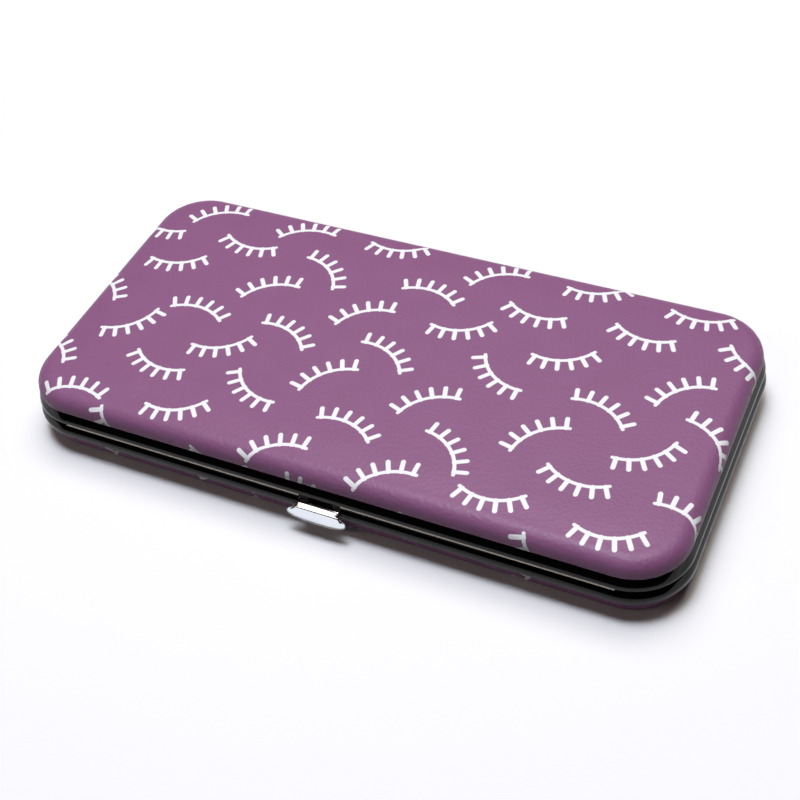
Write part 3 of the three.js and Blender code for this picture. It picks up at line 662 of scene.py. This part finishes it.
base_floor = SEAM - node_box("base_lining")[0][2] - LINING_FACE
lid_floor = node_box("lid_lining")[1][2] - SEAM - LINING_FACE
settle(lining("base_velvet", -1, base_floor), VELVET, "base", "velvet", "base_lining")
settle(lining("lid_velvet", 1, lid_floor), VELVET, "lid", "velvet", "lid_lining")

# Clasp lever. A chrome-plated pressing: a barrel on the pin, a hook that rises through the seam, and
# a strip that leaves the notch, slopes down and spreads into an oval thumb plate.
joints = {joint["name"]: joint for joint in frame["joints"]}
PIVOT = np.array(joints["clasp_press"]["pos_m"]) / MM
STRIP_PATH = ((-0.3, 0.55), (-2.6, 0.55), (-3.72, -0.29), (-4.22, -0.95))  # y and z from the pivot
STRIP_HALF = 5.6  # half widths and half thicknesses
STRIP_THICK = 0.25
STRIP_EDGE = 6  # squareness of the strip in section
STRIP_BEND = 0.12  # half of the length over which a bend is softened
STRIP_ROWS = 60  # points along the strip and over a bend
BEND_ROWS = 15
NECK_HALF = 3.6
NECK_END = 1.1  # length of the neck beside the barrel
NECK_SHOULDER = 0.2  # length over which the neck widens
FLARE_START = 2.3  # along the strip, where it starts to spread
FLARE_SPREAD = 1.7
THUMB_MIDDLE = (-4.27, -1.58)  # y and z from the pivot
THUMB_SLOPE = math.radians(52.7)  # of the plate below the level
THUMB_HALF = 8.15
THUMB_RISE = 1.6
THUMB_BLUNT = 2.5  # squareness of the plate's outline
THUMB_THICK = 0.18
THUMB_EDGE = 16  # squareness of the plate's edge in section
THUMB_DOME = 0.03
THUMB_ROWS = 41  # points from the middle of one face to that of the other
ROUND_COLUMNS = 96  # points round the strip and round the plate
BARREL_RADIUS = 0.9
BARREL_HALF = 3.63
HOOK_HALF = 3.0
HOOK_SECTION = (
    (-0.6, 0), (-0.1, 0), (-0.1, 4.0), (0.7, 4.0), (-0.1, 4.6), (-0.3, 4.6), (-0.6, 4.1)
)  # y and z from the pivot; the front corner is cut off to clear the lid's frame
HOOK_SOFT = 0.06  # rounding of the hook's edges
SOFT_EDGE = 0.1  # rounding of pressed and turned edges
SOFT_SHARE = 0.3  # of the rounding, at the point half way round an edge
CIRCLE_SIDES = 40


def superellipse(angle, power):
    """Points of a unit superellipse: cosine and sine, each to the power of two over the squareness."""
    pair = np.cos(angle), np.sin(angle)
    return [np.sign(part) * np.abs(part) ** (2 / power) for part in pair]


def clasp_strip():
    """Strip: flat bars with rounded edges across X, carried along the bent path. It is narrow at the
    barrel, level in the notch, and spreads along a parabola towards the thumb plate."""
    corners = np.array(STRIP_PATH)
    ends = np.concatenate([[0], np.cumsum(np.hypot(*np.diff(corners, axis=0).T))])
    run = np.concatenate([[0], np.linspace(0, ends[-1], STRIP_ROWS), [ends[-1]]])
    spread = np.linspace(-STRIP_BEND, STRIP_BEND, BEND_ROWS)
    soft = np.clip(run[:, None] + spread, 0, ends[-1])
    path = np.stack([np.interp(soft, ends, corners[:, k]).mean(1) for k in (0, 1)], 1)
    tangent = np.gradient(path[1:-1], axis=0)
    tangent = np.vstack([tangent[:1], tangent, tangent[-1:]])
    tangent /= np.linalg.norm(tangent, axis=1, keepdims=True)
    normal = np.stack([tangent[:, 1], -tangent[:, 0]], 1)
    width = NECK_HALF + (STRIP_HALF - NECK_HALF) * smooth_step((run - NECK_END) / NECK_SHOULDER)
    width += FLARE_SPREAD * (np.clip(run - FLARE_START, 0, None) / (ends[-1] - FLARE_START)) ** 2
    closed = np.ones(len(run))
    closed[[0, -1]] = 0
    angle = np.linspace(0, 2 * math.pi, ROUND_COLUMNS, endpoint=False)
    across, off = superellipse(angle, STRIP_EDGE)
    across = across * (width * closed)[:, None]
    off = off * (STRIP_THICK * closed)[:, None]
    y = path[:, :1] + off * normal[:, :1]
    z = path[:, 1:] + off * normal[:, 1:]
    points = np.stack([across, y, z], 2).reshape(-1, 3) + PIVOT
    return points, grid_faces(len(run), len(angle)).tolist()


def thumb_plate():
    """Oval plate: a blunt ellipse in the sloping plane, shrunk from its rim to nothing on both faces while
    the thickness follows a superellipse, with a low dome on each face."""
    turn = np.linspace(-math.pi / 2, math.pi / 2, THUMB_ROWS)[:, None]
    share, off = superellipse(turn, THUMB_EDGE)
    share[[0, -1]] = 0
    angle = np.linspace(0, 2 * math.pi, ROUND_COLUMNS, endpoint=False)
    across, along = superellipse(angle, THUMB_BLUNT)
    x = THUMB_HALF * share * across
    down = THUMB_RISE * share * along
    off = np.broadcast_to(off * (THUMB_THICK + THUMB_DOME * (1 - share**2)), down.shape)
    cosine, sine = math.cos(THUMB_SLOPE), math.sin(THUMB_SLOPE)
    y = THUMB_MIDDLE[0] - cosine * down - sine * off
    z = THUMB_MIDDLE[1] - sine * down + cosine * off
    points = np.stack([x, y, z], 2).reshape(-1, 3) + PIVOT
    return points, grid_faces(*x.shape)[:, ::-1].tolist()


def prism(outline, insets, heights, axis):
    """Outline carried straight along an axis, drawn in by an inset at each height, with flat ends. The
    outline is anticlockwise in the two axes that follow."""
    points = np.array(outline, float)
    edge = np.roll(points, -1, 0) - points
    out = np.stack([edge[:, 1], -edge[:, 0]], 1) / np.linalg.norm(edge, axis=1, keepdims=True)
    before = np.roll(out, 1, 0)
    miter = (out + before) / (1 + (out * before).sum(1, keepdims=True))
    flat = points - np.asarray(insets)[:, None, None] * miter
    level = np.broadcast_to(np.asarray(heights, float)[:, None, None], (*flat.shape[:2], 1))
    solid = np.roll(np.concatenate([level, flat], 2), axis, 2).reshape(-1, 3)
    count = len(points)
    last = len(solid) - count
    ends = [list(range(count))[::-1], list(range(last, last + count))]
    return solid, [*grid_faces(len(insets), count).tolist(), *ends]


def soft_ends(low, high, soft=SOFT_EDGE):
    """Insets and heights of a prism with rounded edges at both ends."""
    insets = soft * np.array([1, SOFT_SHARE, 0, 0, SOFT_SHARE, 1])
    rise = np.array([0, SOFT_SHARE * soft, soft])
    return insets, np.concatenate([low + rise, high - rise[::-1]])


def circle(radius, centre=(0, 0), sides=CIRCLE_SIDES):
    """Points of a circle, anticlockwise."""
    angle = np.linspace(0, 2 * math.pi, sides, endpoint=False)
    return np.stack([np.cos(angle), np.sin(angle)], 1) * radius + np.array(centre)


def joined(*shapes):
    """Several shapes of points and faces as one."""
    points = np.vstack([shape[0] for shape in shapes])
    starts = np.cumsum([0] + [len(shape[0]) for shape in shapes])
    faces = []
    for (_, own), start in zip(shapes, starts):
        faces += [[corner + start for corner in face] for face in own]
    return points, faces


# Bright chrome plate over a polished pressing: a mirror with faint smears that soften it.
CHROME = "#DCDDE0"
CHROME_GLOSS = (0.05, 0.16)  # roughness of the clean and of the smeared plate
SMEAR = 6.0


def chrome():
    """Smears on Object coordinates vary the polish."""
    material, nodes, shader = new_finish("chrome_plate")
    place = add(nodes, "TexCoord", {}).outputs["Object"]
    gloss = between(nodes, noise(nodes, place, SMEAR, 5), CHROME_GLOSS)
    feed(shader, {"Base Color": linear(CHROME), "Metallic": 1.0, "Roughness": gloss})
    return material


CHROME_PLATE = chrome()
barrel = prism(circle(BARREL_RADIUS, PIVOT[1:]), *soft_ends(-BARREL_HALF, BARREL_HALF), 0)
hook = prism(np.array(HOOK_SECTION) + PIVOT[1:], *soft_ends(-HOOK_HALF, HOOK_HALF, HOOK_SOFT), 0)
lever = make_piece("clasp_chrome_lever", *joined(clasp_strip(), thumb_plate(), barrel, hook))
settle(lever, CHROME_PLATE, "clasp", "chrome", "clasp_lever")

# Hinges. Two butt hinges of folded steel, enamelled with the frames: each leaf lies on the back of its
# frame under two domed rivets, and a headed pin runs through the knuckles.
HINGE = np.array(joints["lid_hinge"]["pos_m"]) / MM
HINGE_SPACING = 100.0
LEAF_HALF = 8.0
LEAF_GAUGE = 0.6
LEAF_LOW = 1.2  # of a leaf's plate from the seam
LEAF_HIGH = 3.1
LEAF_CORNER = 0.8
LEAF_ROWS = 8  # points round a corner and across the plate
LEAF_COLUMNS = 17
TAB_LOW = 0.4  # of the knuckles' tabs from the seam
TAB_GAUGE = 0.9
KNUCKLE_RADIUS = 1.4
KNUCKLE_GAP = 0.3
PIN_HEAD = 0.9
PIN_SHANK = 0.55
PIN_HEAD_HEIGHT = 0.4
PIN_CROWN = ((0.35, 0.0), (0.1, 0.08), (0.0, 0.2))  # insets and heights of a head's rounded end
PIN_PLAY = 0.1  # between a head and its knuckle
RIVET_REACH = 5.5  # of a rivet from the middle of its leaf
RIVET_HEAD = 0.75
RIVET_DOME = 0.4
RIVET_SINK = 0.45  # of a dome's foot into the leaning plate
DOME_ROWS = 7


def leaf_plate(x, side):
    """Plate of a leaf, rolled to the frame's face: the strip between the face and the same line a gauge
    further out, drawn in round the corners and carried along X, with flat ends."""
    turn = np.linspace(0, math.pi / 2, LEAF_ROWS)
    reach = LEAF_HALF - LEAF_CORNER * (1 - np.cos(turn))
    trim = LEAF_CORNER * (1 - np.sin(turn))
    along = np.concatenate([-reach, reach[::-1]])
    trim = np.concatenate([trim, trim[::-1]])[:, None]
    way, lean, inset, height = FACE_LINES[side]
    first, last = np.interp([-LEAF_HIGH, -LEAF_LOW], -height, way)
    share = np.linspace(0, 1, LEAF_COLUMNS)
    place = first + trim + (last - first - 2 * trim) * np.concatenate([share, share[::-1]])
    off = LEAF_GAUGE * (np.arange(2 * LEAF_COLUMNS) < LEAF_COLUMNS)
    lean = np.interp(place, way, lean)
    y = HALF_WIDTH - np.interp(place, way, inset) + off * np.cos(lean)
    z = SEAM + side * (np.interp(place, way, height) + off * np.sin(lean))
    points = np.stack([np.broadcast_to((x + along)[:, None], y.shape), y, z], 2).reshape(-1, 3)
    rows, columns = y.shape
    ring = list(range(columns))
    ends = [ring[::-1], [corner + (rows - 1) * columns for corner in ring]]
    faces = [*grid_faces(rows, columns).tolist(), *ends]
    return points, faces if side < 0 else [face[::-1] for face in faces]


def leaf_shape(x, side, knuckles):
    """Leaf of a hinge: a rolled plate and, for each knuckle, a tab and a round barrel."""
    _, _, inset, height = FACE_LINES[side]
    inner = HALF_WIDTH - np.interp(-LEAF_LOW, -height, inset)
    face = (inner, inner + TAB_GAUGE)
    span = sorted((SEAM + side * TAB_LOW, SEAM + side * (LEAF_LOW + LEAF_GAUGE)))
    shapes = [leaf_plate(x, side)]
    for start, end in knuckles:
        tab = [(span[0], x + start), (span[1], x + start), (span[1], x + end), (span[0], x + end)]
        shapes.append(prism(tab, *soft_ends(*face), 1))
        shapes.append(prism(circle(KNUCKLE_RADIUS, HINGE[1:]), *soft_ends(x + start, x + end), 0))
    return joined(*shapes)


# Bright zinc-plated steel: a soft metal shine with a fine satin grain.
ZINC = "#B9BABD"
ZINC_GLOSS = (0.22, 0.38)  # least and most roughness
SATIN = 0.25
SATIN_HEIGHT = 0.004


def zinc():
    """Fine grain on Object coordinates."""
    material, nodes, shader = new_finish("zinc_plated_steel")
    place = add(nodes, "TexCoord", {}).outputs["Object"]
    grain = noise(nodes, place, SATIN, 3)
    gloss = between(nodes, grain, ZINC_GLOSS)
    normal = relief(nodes, grain, SATIN_HEIGHT)
    feed(shader, {"Base Color": linear(ZINC), "Metallic": 1.0, "Roughness": gloss, "Normal": normal})
    return material


ZINC_STEEL = zinc()
split = LEAF_HALF / 3
outer_knuckles = ((-LEAF_HALF, -split - KNUCKLE_GAP / 2), (split + KNUCKLE_GAP / 2, LEAF_HALF))
middle_knuckle = ((KNUCKLE_GAP / 2 - split, split - KNUCKLE_GAP / 2),)
pin_foot = ((0, PIN_HEAD_HEIGHT), (PIN_HEAD - PIN_SHANK, PIN_HEAD_HEIGHT))
pin_insets, pin_heights = np.array([*PIN_CROWN, *pin_foot]).T
pin_heights = pin_heights - (LEAF_HALF + PIN_PLAY + PIN_HEAD_HEIGHT)
dome = np.linspace(0, math.pi / 2, DOME_ROWS + 1)[:-1]
dome_insets = np.concatenate([[0], RIVET_HEAD * (1 - np.cos(dome))])
dome_heights = np.concatenate([[-RIVET_SINK], RIVET_DOME * np.sin(dome)]) + LEAF_GAUGE + HALF_WIDTH
rivet_level = (LEAF_LOW + LEAF_HIGH) / 2
for name, x in (("left_hinge", -HINGE_SPACING / 2), ("right_hinge", HINGE_SPACING / 2)):
    for body, side, knuckles in (("base", -1, outer_knuckles), ("lid", 1, middle_knuckle)):
        node = f"{name}_{body}_leaf"
        leaf = make_piece(f"{node}_plate", *leaf_shape(x, side, knuckles))
        settle(leaf, ENAMEL, body, "lacquer", node)
        seat = np.interp(-rivet_level, -FACE_LINES[side][3], FACE_LINES[side][2])
        for number, reach in ((1, -RIVET_REACH), (2, RIVET_REACH)):
            place = (SEAM + side * rivet_level, x + reach)
            shape = prism(circle(RIVET_HEAD, place), dome_insets, dome_heights - seat, 1)
            rivet = make_piece(f"{node}_dome_{number}", *shape)
            settle(rivet, ZINC_STEEL, body, "steel", f"{node}_rivet_{number}")
    insets = np.concatenate([pin_insets, pin_insets[::-1]])
    heights = np.concatenate([pin_heights, -pin_heights[::-1]]) + x
    pin = make_piece(f"{name}_headed_pin", *prism(circle(PIN_HEAD, HINGE[1:]), insets, heights, 0))
    settle(pin, ZINC_STEEL, "base", "steel", f"{name}_pin")

# Bracket and keeper. Pressed plates riveted inside the webs of the two frames; the rivets' low heads
# show in the seam when the case is open.
PLATE_RIVET_REACH = 8.0
PLATE_HEAD = 0.75
LOW_HEAD = ((0.0, 0.3), (0.0, 0.0), (0.1, -0.06), (0.4, -0.1))  # insets, and heights into the frame
low_insets, low_heights = np.array(LOW_HEAD).T
channel_middle = FRAME_BREADTH / 2 - HALF_WIDTH
for plate, body, web, side in (
    ("clasp_bracket", "base", base_frame_high[2], -1),
    ("catch_keeper", "lid", lid_frame_low[2], 1),
):
    for number, x in ((1, -PLATE_RIVET_REACH), (2, PLATE_RIVET_REACH)):
        heights = web + side * low_heights
        order = slice(None, None, -side)
        shape = prism(circle(PLATE_HEAD, (x, channel_middle)), low_insets[order], heights[order], 2)
        rivet = make_piece(f"{plate}_low_rivet_{number}", *shape)
        settle(rivet, ZINC_STEEL, body, "steel", f"{plate}_rivet_{number}")
frame["nodes"]["clasp_pin"].material_slots[0].material = ZINC_STEEL

# Pieces that are hidden or nearly so, and keep their solids: polyurethane foam, moulded shells, a
# magnetic sheet of ferrite in rubber, and the clasp's small steel parts, blackened with phosphate.
HIDDEN_HEIGHT = 0.1  # of the grain
HIDDEN_STRENGTH = 0.6
FOAM_NODES = ("base_padding", "lid_padding", "lid_foam_sheet")
BLACK_NODES = ("clasp_bracket", "catch_keeper", "clasp_spring")
# Finish, pale and dark colour, size of the grain, roughness and CAD nodes.
HIDDEN = (
    ("polyurethane_foam", "#CFCAC4", "#A9A39B", 0.9, 0.95, FOAM_NODES),
    ("moulded_polystyrene", "#3A3A3D", "#2F2F32", 0.35, 0.6, ("base_shell", "lid_shell")),
    ("ferrite_rubber", "#2B2724", "#221F1D", 0.6, 0.8, ("base_magnet_sheet",)),
    ("phosphated_steel", "#29292B", "#1D1D1F", 0.3, 0.6, BLACK_NODES),
)
for finish, pale, dark, grain_size, roughness, names in HIDDEN:
    material, nodes, shader = new_finish(finish)
    place = add(nodes, "TexCoord", {}).outputs["Object"]
    grain = noise(nodes, place, grain_size, 3)
    colour = blend(nodes, grain, linear(pale), linear(dark))
    normal = relief(nodes, grain, HIDDEN_HEIGHT, HIDDEN_STRENGTH)
    feed(shader, {"Base Color": colour, "Roughness": roughness, "Normal": normal})
    for name in names:
        frame["nodes"][name].material_slots[0].material = material

# Floor: a sheet of white card that keeps the case's shadow. It is white to the camera and in
# reflections, and greyer in the light that it throws back on to the case. Beyond the lamps' reach it
# stays white and it turns up at its far rim, so that low views show no dark distance.
FLOOR_RADIUS = 8000.0
FLOOR_SIDES = 64
RIM_HEIGHT = 500.0
FLOOR_LIT = (0.2, 0.6)  # metres from the middle between which its own white takes over
CARD_WHITE = "#FFFFFF"
CARD_BOUNCE = "#626262"
rim = np.pad(circle(FLOOR_RADIUS, sides=FLOOR_SIDES), ((0, 0), (0, 1)))
upstand = grid_faces(2, FLOOR_SIDES)[:, ::-1].tolist()
floor_points = np.vstack([rim, rim + (0, 0, RIM_HEIGHT)])
floor = make_piece("floor", floor_points, [list(range(FLOOR_SIDES)), *upstand])
card, nodes, shader = new_finish("white_card")
rays = add(nodes, "LightPath", {})
seen = rays.outputs["Is Camera Ray"]
for kind in ("Is Glossy Ray", "Is Transmission Ray"):
    seen = add(nodes, "Math", {0: seen, 1: rays.outputs[kind]}, operation="MAXIMUM").outputs[0]
colour = blend(nodes, seen, linear(CARD_BOUNCE), linear(CARD_WHITE))
place = add(nodes, "TexCoord", {}).outputs["Object"]
distance = add(nodes, "VectorMath", {0: place}, operation="LENGTH").outputs["Value"]
feeds = {"Value": distance, "From Min": FLOOR_LIT[0], "From Max": FLOOR_LIT[1]}
far = add(nodes, "MapRange", feeds, interpolation_type="SMOOTHSTEP").outputs[0]
far = add(nodes, "Math", {0: far, 1: seen}, operation="MULTIPLY").outputs[0]
feed(shader, {"Base Color": colour, "Roughness": 1.0, "Specular IOR Level": 0.0})
feed(shader, {"Emission Color": linear(CARD_WHITE), "Emission Strength": far})
floor.data.materials.append(card)

# Light: a large warm softbox above and behind, a small cool one straight above that gives the sheen and
# the edge of the shadow, a weak panel and a thin strip light in front that the frames and the clasp
# reflect, and a dim warm room. Each lamp has its place and aim in metres, its size, colour and watts.
LAMPS = (
    ("softbox", (-0.03, 0.26, 1.06), (0.0, 0.0, 0.0), (0.8, 0.7), "#FFF9F2", 8.2),
    ("overhead", (-0.05, 0.0, 1.05), (0.0, 0.0, 0.0), (0.3, 0.3), "#E4EDFF", 5.5),
    ("front", (-0.62, -1.52, 0.58), (0.0, 0.0, 0.01), (0.45, 0.35), "#F2F7FF", 0.62),
    ("front_high", (-0.62, -1.0, 1.18), (-0.62, -0.044, 0.01), (1.0, 0.02), "#FFEFE2", 1.25),
)
ROOM = "#FFCDB0"
ROOM_LEVEL = 0.02
for name, place, aim, size, colour, power in LAMPS:
    lamp = bpy.data.lights.new(name, "AREA")
    lamp.shape = "RECTANGLE"
    lamp.size, lamp.size_y = size
    lamp.color = linear(colour)[:3]
    lamp.energy = power
    holder = bpy.data.objects.new(name, lamp)
    bpy.context.scene.collection.objects.link(holder)
    away = np.array(place) - np.array(aim)
    away /= np.linalg.norm(away)
    level = np.cross((0, 0, 1), away)
    level /= np.linalg.norm(level)
    turned = np.stack([level, np.cross(away, level), away], 1)
    holder.matrix_world = Matrix.Translation(place) @ Matrix(turned.tolist()).to_4x4()
world = bpy.data.worlds.new("room")
world.use_nodes = True
feed(world.node_tree.nodes["Background"], {"Color": linear(ROOM), "Strength": ROOM_LEVEL})
bpy.context.scene.world = world
bpy.context.scene.view_settings.view_transform = "Standard"

# Camera, fitted to the photograph: it looks at the middle of the seam's plane, and the shift of the lens
# puts the optical axis where the fit has it in the picture.
AZIMUTH = math.radians(30.233)
ELEVATION = math.radians(45.147)
ROLL = math.radians(-7.802)
DISTANCE = 377.948
FOCAL_PIXELS = 1433.546
AXIS_PIXEL = (394.104, 376.905)  # where the optical axis meets the picture
PICTURE = 800
SENSOR = 36.0
NEAREST = 0.01  # metres from the camera that it shows
back = np.array([
    math.sin(AZIMUTH) * math.cos(ELEVATION),
    -math.cos(AZIMUTH) * math.cos(ELEVATION),
    math.sin(ELEVATION),
])
right = np.array([math.cos(AZIMUTH), math.sin(AZIMUTH), 0])
up = np.cross(back, right)
rolled_right = right * math.cos(ROLL) + up * math.sin(ROLL)
rolled_up = up * math.cos(ROLL) - right * math.sin(ROLL)
lens = bpy.data.cameras.new("camera")
lens.sensor_width = SENSOR
lens.lens = FOCAL_PIXELS / PICTURE * SENSOR
lens.shift_x = 0.5 - AXIS_PIXEL[0] / PICTURE
lens.shift_y = AXIS_PIXEL[1] / PICTURE - 0.5
camera = bpy.data.objects.new("camera", lens)
bpy.context.scene.collection.objects.link(camera)
eye = (np.array([0, 0, SEAM]) + back * DISTANCE) * MM
axes = np.stack([rolled_right, rolled_up, back], 1)
camera.matrix_world = Matrix.Translation(eye.tolist()) @ Matrix(axes.tolist()).to_4x4()
lens.clip_start = NEAREST
bpy.context.scene.camera = camera
